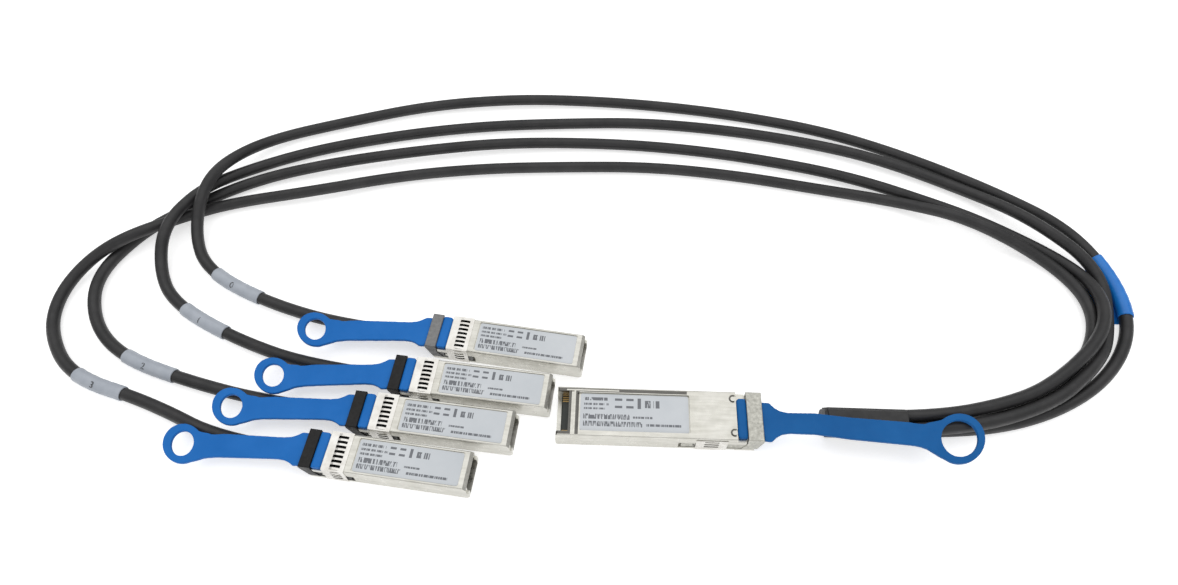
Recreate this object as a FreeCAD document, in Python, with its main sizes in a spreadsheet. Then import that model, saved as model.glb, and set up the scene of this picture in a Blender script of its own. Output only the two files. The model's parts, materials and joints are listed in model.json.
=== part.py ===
"""Direct attach copper breakout cable: one QSFP+ plug, four SFP+ plugs, four twinax cables.

Every plug is drawn in its own coordinates: X runs from the nose back to the cable, Y across,
Z up from the table. place() then turns and moves it to where it lies on the table.
Lengths are in millimetres.
"""
import FreeCAD, Part
import math
import os
import Sketcher

V = FreeCAD.Vector
doc = FreeCAD.newDocument("DirectAttachCable")
sheet = doc.addObject("Spreadsheet::Sheet", "Sizes")
sheet.Label = "Sizes"


class Size:
    """A named value of the sheet, or a sum of such values, kept with its expression."""

    def __init__(self, value, text=None):
        self.value = float(value)
        self.text = text if text is not None else repr(round(float(value), 6))

    def __add__(self, other):
        other = size(other)
        return Size(self.value + other.value, "(%s + %s)" % (self.text, other.text))

    def __sub__(self, other):
        other = size(other)
        return Size(self.value - other.value, "(%s - %s)" % (self.text, other.text))

    def __mul__(self, number):
        return Size(self.value * number, "(%s * %s)" % (self.text, repr(number)))

    def __truediv__(self, number):
        return Size(self.value / number, "(%s / %s)" % (self.text, repr(number)))

    def __neg__(self):
        return Size(-self.value, "(-1 * %s)" % self.text)

    __radd__ = __add__

    def __rsub__(self, other):
        return size(other) - self


def size(x):
    return x if isinstance(x, Size) else Size(x)


row = 0


def named(alias, value, note):
    """Put one driving size in the sheet and hand it back."""
    global row
    row += 1
    sheet.set("A%d" % row, note)
    sheet.set("B%d" % row, repr(value))
    sheet.setAlias("B%d" % row, alias)
    return Size(value, "Sizes." + alias)


class Plug:
    """The sizes of one kind of plug."""


# ---------------------------------------------------------------- sizes
gap = named("sliding_gap", 0.15, "clearance round a sliding piece")
seat = named("seat_gap", 0.05, "clearance under a piece that slides on a face")
lift = named("body_lift", 0.5, "plug body above the table, as the head stands proud")
cable_r = named("cable_radius", 2.35, "twinax cable, half its 4.7 mm diameter")
bore_gap = named("cable_bore_gap", 0.1, "cable in the bore of the rear wall")
shift_x = named("table_shift_x", 6.36, "moves the set so that its middle is the origin")
shift_y = named("table_shift_y", 47.95, "moves the set so that its middle is the origin")

S = Plug()
S.width = named("sfp_width", 13.55, "SFP+ body width")
S.tall = named("sfp_height", 8.5, "SFP+ body height")
S.length = named("sfp_length", 56.5, "SFP+ nose to rear wall")
S.head = S.length - named("sfp_head_length", 5.9, "SFP+ head, ahead of the rear wall's face")
S.wall = named("sfp_wall", 1.4, "SFP+ side wall")
S.floor = named("sfp_floor", 1.1, "SFP+ floor")
S.roof = named("sfp_roof", 0.8, "SFP+ roof under the label")
S.rear = named("sfp_rear_wall", 2.5, "SFP+ rear wall that grips the cable")
S.split = named("sfp_split", 4.6, "height of the seam between the two halves")
S.step = named("sfp_head_step", 2.0, "head top below body top")
S.nose = named("sfp_nose_bevel", 1.1, "bevel at the nose")
S.cover0 = named("sfp_cover_start", 0.7, "nose to the cover's front edge")
S.label0 = named("sfp_recess_start", 3.3, "nose to the label recess")
S.label1 = named("sfp_recess_end", 40.4, "nose to the end of the label recess")
S.lead = named("sfp_label_lead", 0.3, "recess edge to the label's front edge")
S.sink = named("sfp_recess_depth", 0.4, "label recess depth")
S.rim = named("sfp_recess_rim", 0.8, "rim beside the label recess")
S.collar0 = named("sfp_collar_start", 42.6, "nose to the spring collar")
S.collar1 = named("sfp_collar_end", 50.4, "nose to the collar's rear edge")
S.slot0 = named("sfp_slot_start", 44.1, "nose to the collar slots")
S.slot1 = named("sfp_slot_end", 47.7, "nose to the end of the collar slots")
S.bar0 = S.length - named("sfp_bar_lead", 2.0, "crossbar, ahead of the rear wall's face")
S.bar1 = S.bar0 + named("sfp_bar_size", 4.1, "crossbar, along the plug")
S.arm0 = named("sfp_arm_start", 41.0, "nose to the tip of the slider arms")
S.exit = named("sfp_cable_height", 4.1, "middle of the cable where it leaves the rear wall")
S.leg = named("sfp_leg_thickness", 0.8, "slider leg")
S.lean = named("sfp_leg_lean", 2.0, "how far the slider's legs lean forward")
S.travel = named("sfp_travel", 2.5, "slider travel")
S.card_w = named("sfp_card_width", 9.2, "paddle card width")
S.card0 = named("sfp_card_start", 1.9, "nose to the card edge")
S.card1 = named("sfp_card_end", 24.0, "nose to the end of the card")
S.slots = 7
S.slot_pitch = named("sfp_slot_pitch", 1.72, "spacing of the collar slots")
S.bend = S.length + named("sfp_strap_start", 4.5, "rear wall to where the strap narrows")
S.ring_x = S.bend + named("sfp_strap_length", 40.6, "where the strap narrows to the ring's centre")
S.ring_a = named("sfp_ring_along", 6.9, "pull ring, half its size along the strap")
S.ring_b = named("sfp_ring_across", 7.6, "pull ring, half its size across the strap")
S.hole_a = named("sfp_hole_along", 3.9, "finger hole, half its size along the strap")
S.hole_b = named("sfp_hole_across", 4.85, "finger hole, half its size across the strap")
S.strap_w0 = named("sfp_strap_narrow", 7.7, "strap width behind the crossbar")
S.strap_w = named("sfp_strap_width", 8.5, "strap width in front of the ring")
S.flare = named("sfp_ring_flare", 3.4, "length of the flare between strap and ring")
S.t_front = named("sfp_tab_front", 6.4, "half width of the tab in front of the crossbar")
S.t_back = named("sfp_tab_back", 5.9, "half width of the tab behind the crossbar")
S.strap_t = named("sfp_strap_thick", 1.5, "strap thickness")
S.drop = named("sfp_ring_height", 5.5, "underside of the ring above the table")

Q = Plug()
Q.width = named("qsfp_width", 18.35, "QSFP+ body width")
Q.tall = named("qsfp_height", 8.5, "QSFP+ body height")
Q.length = named("qsfp_length", 70.0, "QSFP+ nose to rear wall")
Q.head = Q.length - named("qsfp_head_length", 6.8, "QSFP+ head, ahead of the rear wall's face")
Q.wall = named("qsfp_wall", 1.6, "QSFP+ side wall")
Q.floor = named("qsfp_floor", 1.1, "QSFP+ floor")
Q.roof = named("qsfp_roof", 0.9, "QSFP+ roof under the label")
Q.rear = named("qsfp_rear_wall", 3.0, "QSFP+ rear wall")
Q.split = named("qsfp_split", 4.6, "height of the seam between the two halves")
Q.step = named("qsfp_head_step", 2.0, "head top below body top")
Q.nose = named("qsfp_nose_bevel", 0.6, "bevel at the nose")
Q.cover0 = named("qsfp_cover_start", 0.2, "nose to the cover's front edge")
Q.mouth = named("qsfp_mouth", 4.3, "nose to the roof: the card lies open between the side walls")
Q.groove0 = named("qsfp_groove_start", 5.0, "nose to the groove across the roof")
Q.groove1 = named("qsfp_groove_end", 6.1, "nose to the groove's rear edge")
Q.eye_x = Q.head - named("qsfp_eye_lead", 1.0, "round marks on the roof, ahead of the head's step")
Q.eye_y = named("qsfp_eye_y", 6.4, "round marks, off the middle")
Q.label0 = named("qsfp_recess_start", 7.3, "nose to the label recess")
Q.label1 = named("qsfp_recess_end", 46.8, "nose to the end of the label recess")
Q.lead = named("qsfp_label_lead", 1.05, "recess edge to the label's front edge")
Q.sink = named("qsfp_recess_depth", 0.7, "label recess depth")
Q.rim = named("qsfp_recess_rim", 2.0, "rim beside the label recess")
Q.collar0 = named("qsfp_collar_start", 49.0, "nose to the spring collar")
Q.collar1 = named("qsfp_collar_end", 60.0, "nose to the collar's rear edge")
Q.bar0 = Q.length - named("qsfp_bar_lead", 3.2, "crossbar, ahead of the rear wall's face")
Q.bar1 = Q.bar0 + named("qsfp_bar_size", 5.5, "crossbar, along the plug")
Q.arm0 = named("qsfp_arm_start", 44.0, "nose to the tip of the slider arms")
Q.leg = named("qsfp_leg_thickness", 0.7, "slider leg")
Q.lean = named("qsfp_leg_lean", 1.5, "how far the slider's legs lean forward")
Q.travel = named("qsfp_travel", 3.0, "slider travel")
Q.card_w = named("qsfp_card_width", 15.0, "paddle card width")
Q.card0 = named("qsfp_card_start", 1.6, "nose to the card edge")
Q.card1 = named("qsfp_card_end", 28.0, "nose to the end of the card")
Q.bend = Q.length + named("qsfp_strap_start", 5.0, "rear wall to where the strap narrows")
Q.ring_x = Q.bend + named("qsfp_strap_length", 63.0, "where the strap narrows to the ring's centre")
Q.ring_a = named("qsfp_ring_along", 8.6, "pull ring, half its size along the strap")
Q.ring_b = named("qsfp_ring_across", 9.3, "pull ring, half its size across the strap")
Q.hole_a = named("qsfp_hole_along", 6.2, "finger hole, half its size along the strap")
Q.hole_b = named("qsfp_hole_across", 6.75, "finger hole, half its size across the strap")
Q.strap_w0 = named("qsfp_strap_narrow", 7.5, "strap width behind the crossbar")
Q.strap_w = named("qsfp_strap_width", 8.3, "strap width in front of the ring")
Q.flare = named("qsfp_ring_flare", 5.0, "length of the flare between strap and ring")
Q.t_front = named("qsfp_tab_front", 7.4, "half width of the tab in front of the crossbar")
Q.t_back = named("qsfp_tab_back", 7.2, "half width of the tab behind the crossbar")
Q.strap_t = named("qsfp_strap_thick", 1.6, "strap thickness")
Q.drop = named("qsfp_ring_height", 10.5, "underside of the ring above the table")

card_t = named("card_thickness", 1.0, "paddle card thickness")
card_z = named("card_height", 3.1, "underside of the card above the table")
collar_t = named("collar_thickness", 0.25, "spring collar sheet")
bow = named("collar_bow", 0.25, "how far the collar's fingers bow out")
slot_w = named("slot_width", 0.95, "width of a collar slot")
channel = named("channel_depth", 0.8, "side channel for the slider arms")
arm_t = named("arm_thickness", 0.5, "slider arm")
arm_low = named("arm_bottom", 1.6, "underside of the slider arms above the table")
bar_t = named("bar_thickness", 0.8, "crossbar")
neck_t = named("neck_thickness", 1.1, "pull tab under the crossbar")
ledge_w = named("ledge_width", 1.1, "ledge that carries the card")
label_t = named("label_thickness", 0.12, "printed label")
lever_w = named("lever_width", 4.0, "latch lever width")
lever_pin_x = named("lever_pin_x", 28.0, "nose to the lever's pin")
lever_pin_z = named("lever_pin_z", 2.3, "lever's pin above the table")
pin_r = named("pin_radius", 0.5, "lever pin")
pin_gap = named("pin_gap", 0.05, "running clearance of the lever on its pin")
eye_r = named("eye_radius", 1.1, "eye of the lever")
lever_end = named("lever_end", 50.0, "nose to the lever's tail")
lever_low = named("lever_bottom", 0.7, "underside of the lever")
lever_t = named("lever_thickness", 1.2, "lever plate")
latch_x = named("latch_x", 38.5, "nose to the latch boss")
latch_low = named("latch_low", 0.05, "tip of the latch boss above the table")
window0 = named("spring_window_start", 4.0, "slider tip to the spring window")
window_l = named("spring_window_length", 7.0, "spring window length")
window_h = named("spring_window_height", 1.9, "spring window height")
post_l = named("spring_post_length", 1.0, "post that the spring pushes on")
spring_t = named("spring_thickness", 0.2, "spring strip")
spring_w = named("spring_width", 0.55, "spring strip width")
sleeve_in = named("sleeve_inside", 2.45, "inside of the sleeve from the middle of its nearest cable")
sleeve_t = named("sleeve_thickness", 0.5, "heat-shrink sleeve wall")
boot_root = named("boot_root_length", 7.0, "straight root of the boot behind the rear wall")
boot_taper = named("boot_taper_length", 17.0, "the boot's taper from the root to the bundle")
boot_end = Q.length + named("boot_length", 26.5, "wide plug's rear wall to the boot's rear face")
sleeve0 = boot_end - named("sleeve_grip", 1.5, "how far the sleeve reaches over the boot")
sleeve1 = sleeve0 + named("sleeve_length", 27.5, "heat-shrink sleeve")
cord_pitch = named("cord_pitch", 5.0, "spacing of the four cables in the sleeve")
bundle_y = named("bundle_offset", 1.13, "how far the sleeve lies to the far side of the plug's middle")
bundle_z = named("bundle_height", 3.0, "middle of the lower pair of cables in the sleeve")
wrap_gap = named("wrap_gap", 0.1, "marker sleeve on its cable")
wrap_t = named("wrap_thickness", 0.32, "marker sleeve wall")
flag_t = named("flag_thickness", 0.25, "flag label")
flag_w = named("flag_width", 14.0, "flag label, away from its cable")
flag_l = named("flag_length", 24.0, "flag label, along its cable")
doc.recompute()

TOUCH = 0.5  # far enough past a face for a cut to run clean through it


# ---------------------------------------------------------------- drawing helpers
def make_body(name):
    body = doc.addObject("PartDesign::Body", name)
    body.Label = name
    return body


def plane(body, role):
    return [f for f in body.Origin.OriginFeatures if f.Role == role][0]


def sketch(body, role, start):
    """A sketch on one of the body's own origin planes, moved along its normal."""
    s = body.newObject("Sketcher::SketchObject", "Sketch")
    s.AttachmentSupport = [(plane(body, role), "")]
    s.MapMode = "FlatFace"
    start = size(start)
    s.AttachmentOffset = FreeCAD.Placement(V(0, 0, start.value), FreeCAD.Rotation())
    s.setExpression(".AttachmentOffset.Base.z", start.text)
    return s


def outline(s, points):
    """A closed outline, every corner fixed by the sheet's sizes."""
    pts = [(size(a), size(b)) for a, b in points]
    first = s.GeometryCount
    lines = []
    for i, (a, b) in enumerate(pts):
        c, d = pts[(i + 1) % len(pts)]
        lines.append(Part.LineSegment(V(a.value, b.value, 0), V(c.value, d.value, 0)))
    s.addGeometry(lines, False)
    n = len(pts)
    rules = [
        Sketcher.Constraint("Coincident", first + i, 2, first + (i + 1) % n, 1)
        for i in range(n)
    ]
    for i, (a, b) in enumerate(pts):
        rules.append(Sketcher.Constraint("DistanceX", -1, 1, first + i, 1, a.value))
        rules.append(Sketcher.Constraint("DistanceY", -1, 1, first + i, 1, b.value))
    start = s.ConstraintCount
    s.addConstraint(rules)
    for i, (a, b) in enumerate(pts):
        for k, part in enumerate((a, b)):
            number = start + n + 2 * i + k
            alias = "p%d" % number
            s.renameConstraint(number, alias)
            if "Sizes" in part.text:
                s.setExpression("Constraints." + alias, part.text)
    return s


def circle(s, x, y, r):
    x, y, r = size(x), size(y), size(r)
    i = s.addGeometry(Part.Circle(V(x.value, y.value, 0), V(0, 0, 1), r.value), False)
    for kind, part in (("DistanceX", x), ("DistanceY", y), ("Radius", r)):
        if kind == "Radius":
            k = s.addConstraint(Sketcher.Constraint(kind, i, part.value))
        else:
            k = s.addConstraint(Sketcher.Constraint(kind, -1, 1, i, 3, part.value))
        s.renameConstraint(k, "c%d" % k)
        if "Sizes" in part.text:
            s.setExpression("Constraints.c%d" % k, part.text)
    return s


def oval(s, x, y, along, across):
    """An ellipse whose long axis lies across the strap."""
    x, y, along, across = size(x), size(y), size(along), size(across)
    i = s.addGeometry(Part.Ellipse(
        V(x.value, y.value + across.value, 0), V(x.value + along.value, y.value, 0),
        V(x.value, y.value, 0)), False)
    s.exposeInternalGeometry(i)
    s.addConstraint(Sketcher.Constraint("Vertical", i + 1))
    rules = [
        (Sketcher.Constraint("DistanceX", -1, 1, i, 3, x.value), x),
        (Sketcher.Constraint("DistanceY", -1, 1, i, 3, y.value), y),
        (Sketcher.Constraint("Distance", i + 1, 2 * across.value), across * 2),
        (Sketcher.Constraint("Distance", i + 2, 2 * along.value), along * 2),
    ]
    for rule, part in rules:
        k = s.addConstraint(rule)
        s.renameConstraint(k, "c%d" % k)
        if "Sizes" in part.text:
            s.setExpression("Constraints.c%d" % k, part.text)
    return s


def box_points(x0, y0, x1, y1):
    return [(x0, y0), (x1, y0), (x1, y1), (x0, y1)]


def feature(body, kind, s, length, both=False, back=False):
    f = body.newObject("PartDesign::" + kind, kind)
    f.Profile = s
    length = size(length)
    f.Length = length.value
    if "Sizes" in length.text:
        f.setExpression("Length", length.text)
    if both:
        f.SideType = "Symmetric"
    if back:
        f.Reversed = True
    s.Visibility = False
    return f


def pad(body, s, length, both=False, back=False):
    return feature(body, "Pad", s, length, both, back)


def pocket(body, s, length, both=False, back=False):
    """Cut, and make sure that the cut took something away."""
    doc.recompute()
    before = body.Shape.Volume
    f = feature(body, "Pocket", s, length, both, back)
    doc.recompute()
    if body.Shape.Volume > before - 1e-6:
        raise RuntimeError("a pocket of %s cut nothing" % body.Label)
    return f


def round_edges(body, radius, wanted, kind="Fillet"):
    """Fillet or chamfer the edges for which wanted(middle, direction) is true."""
    doc.recompute()
    names = []
    for i, edge in enumerate(body.Shape.Edges):
        if not isinstance(edge.Curve, Part.Line):
            continue
        if wanted(edge.CenterOfMass, edge.tangentAt(edge.FirstParameter), edge.Length):
            names.append("Edge%d" % (i + 1))
    if not names:
        raise RuntimeError("no edge to round on " + body.Label)
    f = body.newObject("PartDesign::" + kind, kind)
    f.Base = (body.Tip if body.Tip != f else f.BaseFeature, names)
    radius = size(radius)
    if kind == "Fillet":
        f.Radius = radius.value
    else:
        f.Size = radius.value
    return f


def near(a, b):
    return abs(a - size(b).value) < 0.01


def place(body, x, y, turn):
    """Lay a piece drawn in plug coordinates on the table."""
    body.Placement = FreeCAD.Placement(
        V(x + shift_x.value, y + shift_y.value, 0),
        FreeCAD.Rotation(V(0, 0, 1), turn),
    )
    body.setExpression(".Placement.Base.x", "%s + Sizes.table_shift_x" % repr(x))
    body.setExpression(".Placement.Base.y", "%s + Sizes.table_shift_y" % repr(y))


# ---------------------------------------------------------------- the pieces of a plug
def body_sizes(p):
    """Heights and half widths that several pieces share."""
    p.low = lift
    p.top = lift + p.tall
    p.seam = lift + p.split
    p.head_top = p.top - p.step
    p.half = p.width / 2
    p.inner = p.half - p.wall
    p.notch = p.half - channel
    p.leg_in = p.notch + gap
    p.leg_out = p.leg_in + p.leg
    p.arm_out = p.leg_in + arm_t
    p.arm_top = p.seam - gap
    p.neck_low = p.head_top + seat
    p.bar_low = p.neck_low + neck_t + gap
    p.bar_top = p.bar_low + bar_t
    p.recess = p.top - p.sink
    p.room = p.recess - p.roof


def make_base(name, p, cable, lever):
    """Lower half: a cast tray with a stepped head, side channels and a cable saddle."""
    body = make_body(name)
    side = sketch(body, "XZ_Plane", 0)
    outline(side, [
        (p.nose, p.low), (p.head, p.low), (p.head, 0), (p.length, 0),
        (p.length, p.seam), (0, p.seam), (0, p.low + p.nose),
    ])
    pad(body, side, p.width, both=True)
    tray = sketch(body, "XY_Plane", p.seam)
    outline(tray, box_points(-TOUCH, -p.inner, p.length - p.rear, p.inner))
    pocket(body, tray, p.split - p.floor)
    ledges = sketch(body, "YZ_Plane", 10)
    for sign in (-1, 1):
        outline(ledges, box_points(
            (p.inner - ledge_w) * sign, p.low + p.floor - 0.1, (p.inner + 0.1) * sign, card_z))
    pad(body, ledges, 13)
    runs = sketch(body, "XY_Plane", p.seam)
    for sign in (-1, 1):
        outline(runs, box_points(p.arm0 - 1, p.notch * sign, p.length + TOUCH, (p.half + TOUCH) * sign))
    pocket(body, runs, p.seam - arm_low + gap)
    posts = sketch(body, "XZ_Plane", 0)
    post_x = p.arm0 + window0 + window_l - post_l - 0.5
    post_z = (arm_low + p.arm_top) / 2
    post_half = window_h / 2 - gap
    outline(posts, box_points(post_x, post_z - post_half, post_x + post_l, post_z + post_half))
    pad(body, posts, p.arm_out * 2, both=True)
    hollow = sketch(body, "YZ_Plane", p.arm0 - 2)
    outline(hollow, box_points(-p.inner, p.low + p.floor, p.inner, p.seam + TOUCH))
    pocket(body, hollow, p.length - p.rear - p.arm0 + 2, back=True)
    if cable:
        bore = sketch(body, "YZ_Plane", p.length)
        circle(bore, 0, p.exit, cable_r + bore_gap)
        pocket(body, bore, p.rear)
    if lever:
        ears = sketch(body, "XY_Plane", p.low + p.floor - 0.1)
        for sign in (-1, 1):
            near_y, far_y = (lever_w / 2 + 0.3) * sign, (lever_w / 2 + 1.1) * sign
            outline(ears, box_points(lever_pin_x - 1.5, near_y, lever_pin_x + 1.5, far_y))
        pad(body, ears, lever_pin_z + 0.9 - p.low - p.floor)
        slot = sketch(body, "XY_Plane", p.low + p.floor)
        outline(slot, box_points(
            lever_pin_x - 1.6, -lever_w / 2 - 0.3, p.head - 0.4, lever_w / 2 + 0.3))
        pocket(body, slot, p.floor)
        pin = sketch(body, "XZ_Plane", 0)
        circle(pin, lever_pin_x, lever_pin_z, pin_r)
        pad(body, pin, lever_w + 2.2, both=True)
    return body


def make_cover(name, p, cable):
    """Upper half: roof with the label recess, bevelled nose, lowered head."""
    body = make_body(name)
    side = sketch(body, "XZ_Plane", 0)
    outline(side, [
        (p.cover0, p.seam), (p.length, p.seam), (p.length, p.head_top), (p.head, p.head_top),
        (p.head, p.top), (p.cover0 + p.nose, p.top), (p.cover0, p.top - p.nose),
    ])
    pad(body, side, p.width, both=True)
    inside = sketch(body, "XY_Plane", p.seam)
    outline(inside, box_points(0, -p.inner, p.head - 1, p.inner))
    pocket(body, inside, p.room - p.seam, back=True)
    rear = sketch(body, "XY_Plane", p.seam)
    outline(rear, box_points(p.head - 2, -p.inner, p.length - p.rear, p.inner))
    pocket(body, rear, p.head_top - 1 - p.seam, back=True)
    if p is Q:
        mouth = sketch(body, "XY_Plane", p.top + TOUCH)
        outline(mouth, box_points(-TOUCH, -p.inner, p.mouth, p.inner))
        pocket(body, mouth, p.top + TOUCH - p.seam)
        groove = sketch(body, "XY_Plane", p.top)
        outline(groove, box_points(p.groove0, -p.inner - 0.2, p.groove1, p.inner + 0.2))
        pocket(body, groove, size(0.5))
        eyes = sketch(body, "XY_Plane", p.top)
        for sign in (-1, 1):
            circle(eyes, p.eye_x, p.eye_y * sign, size(1.5))
            circle(eyes, p.eye_x, p.eye_y * sign, size(0.9))
        pocket(body, eyes, size(0.35))
    else:
        well = sketch(body, "XY_Plane", p.top)
        outline(well, box_points(p.slot0 - 0.2, -p.half + 1, p.slot1 + 0.2, p.half - 1))
        pocket(body, well, size(0.45))
    label = sketch(body, "XY_Plane", p.top)
    outline(label, box_points(p.label0, -p.half + p.rim, p.label1, p.half - p.rim))
    pocket(body, label, p.sink)
    notch = sketch(body, "XY_Plane", p.head_top + TOUCH)
    for sign in (-1, 1):
        outline(notch, box_points(
            p.bar0 - 0.3, p.notch * sign, p.length + TOUCH, (p.half + TOUCH) * sign))
    pocket(body, notch, p.head_top + TOUCH - p.seam)
    if cable:
        bore = sketch(body, "YZ_Plane", p.length)
        circle(bore, 0, p.exit, cable_r + bore_gap)
        pocket(body, bore, p.rear)
    round_edges(body, 0.45, lambda c, d, n: abs(d.x) > 0.99 and near(c.z, p.top)
                and near(abs(c.y), p.half))
    round_edges(body, 0.6, lambda c, d, n: abs(d.z) > 0.99 and near(abs(c.y), p.half - p.rim)
                and c.z > p.recess.value - 0.01 and n < p.sink.value + 0.01)
    return body


def make_collar(name, p):
    """Thin spring collar round the body, with a row of fingers bowed out on each side."""
    body = make_body(name)
    ring = sketch(body, "YZ_Plane", p.collar0)
    outline(ring, box_points(
        -p.half - collar_t, p.low - collar_t, p.half + collar_t, p.top + collar_t))
    outline(ring, box_points(-p.half, p.low, p.half, p.top))
    pad(body, ring, p.collar1 - p.collar0)
    z = p.top + collar_t
    crown = sketch(body, "XZ_Plane", 0)
    outline(crown, [
        (p.slot0, z), (p.slot0 + 1, z + bow), (p.slot1 - 1, z + bow), (p.slot1, z),
        (p.slot1, z - 0.1), (p.slot0, z - 0.1),
    ])
    pad(body, crown, p.width - 0.6, both=True)
    y = p.half + collar_t
    sides = sketch(body, "XY_Plane", p.low + 0.8)
    for sign in (-1, 1):
        outline(sides, [
            (p.slot0, y * sign), (p.slot0 + 1, (y + bow) * sign),
            (p.slot1 - 1, (y + bow) * sign), (p.slot1, y * sign),
            (p.slot1, (y - 0.1) * sign), (p.slot0, (y - 0.1) * sign),
        ])
    pad(body, sides, p.tall - 1.6)
    top_slots = sketch(body, "XY_Plane", p.top + 1)
    for i in range(p.slots):
        y = p.slot_pitch * (i - (p.slots - 1) / 2)
        outline(top_slots, box_points(p.slot0, y - slot_w / 2, p.slot1, y + slot_w / 2))
    pocket(body, top_slots, p.tall + 3)
    side_slots = sketch(body, "XZ_Plane", 0)
    for i in range(3):
        z = lift + p.tall / 2 + p.slot_pitch * (i - 1)
        outline(side_slots, box_points(p.slot0, z - slot_w / 2, p.slot1, z + slot_w / 2))
    pocket(body, side_slots, p.width + 4, both=True)
    return body


def make_band(name, p):
    """Plain contact band of the wide plug: a stamped strap that wraps sides and belly."""
    body = make_body(name)
    ring = sketch(body, "YZ_Plane", p.collar0)
    outline(ring, [
        (-p.half - collar_t, p.top - 1.2), (-p.half - collar_t, p.low - collar_t),
        (p.half + collar_t, p.low - collar_t), (p.half + collar_t, p.top - 1.2),
        (p.half, p.top - 1.2), (p.half, p.low), (-p.half, p.low), (-p.half, p.top - 1.2),
    ])
    pad(body, ring, p.collar1 - p.collar0)
    slots = sketch(body, "XZ_Plane", 0)
    for i in range(3):
        z = lift + 1.9 + 1.9 * i
        outline(slots, box_points(p.collar0 + 3, z, p.collar1 - 3, z + slot_w))
    pocket(body, slots, p.width + 4, both=True)
    return body


def make_card(name, p):
    """Paddle card: the edge-contact tongue, wider where it rests on the ledges."""
    body = make_body(name)
    wide = p.inner - seat
    tongue = p.card_w / 2
    s = sketch(body, "XY_Plane", card_z)
    outline(s, [
        (p.card0, -tongue), (9, -tongue), (9, -wide), (p.card1, -wide),
        (p.card1, wide), (9, wide), (9, tongue), (p.card0, tongue),
    ])
    pad(body, s, card_t)
    round_edges(body, 0.3, lambda c, d, n: abs(d.y) > 0.99 and near(c.x, p.card0), "Chamfer")
    return body


def make_slider(name, p):
    """Latch slider: a crossbar over the head, leaning legs, and arms in the side channels."""
    body = make_body(name)
    legs = sketch(body, "XZ_Plane", 0)
    outline(legs, [
        (p.bar0, p.bar_top), (p.bar0, p.seam), (p.bar0 - p.lean, arm_low),
        (p.bar1 - p.lean, arm_low), (p.bar1, p.bar_low - 1), (p.bar1, p.bar_top),
    ])
    pad(body, legs, p.leg_out * 2, both=True)
    arms = sketch(body, "XZ_Plane", 0)
    outline(arms, box_points(p.arm0, arm_low, p.bar0 + 1, p.arm_top))
    pad(body, arms, p.arm_out * 2, both=True)
    inside = sketch(body, "YZ_Plane", p.arm0 - 1)
    outline(inside, box_points(-p.leg_in, 0, p.leg_in, p.bar_low))
    pocket(body, inside, p.bar1 - p.arm0 + 2, back=True)
    window = sketch(body, "XZ_Plane", 0)
    z = (arm_low + p.arm_top) / 2
    outline(window, box_points(
        p.arm0 + window0, z - window_h / 2, p.arm0 + window0 + window_l, z + window_h / 2))
    pocket(body, window, p.leg_out * 2 + 1, both=True)
    round_edges(body, 0.35, lambda c, d, n: near(c.z, p.bar_top) and (
        abs(d.y) > 0.99 or abs(d.x) > 0.99))
    return body


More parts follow.
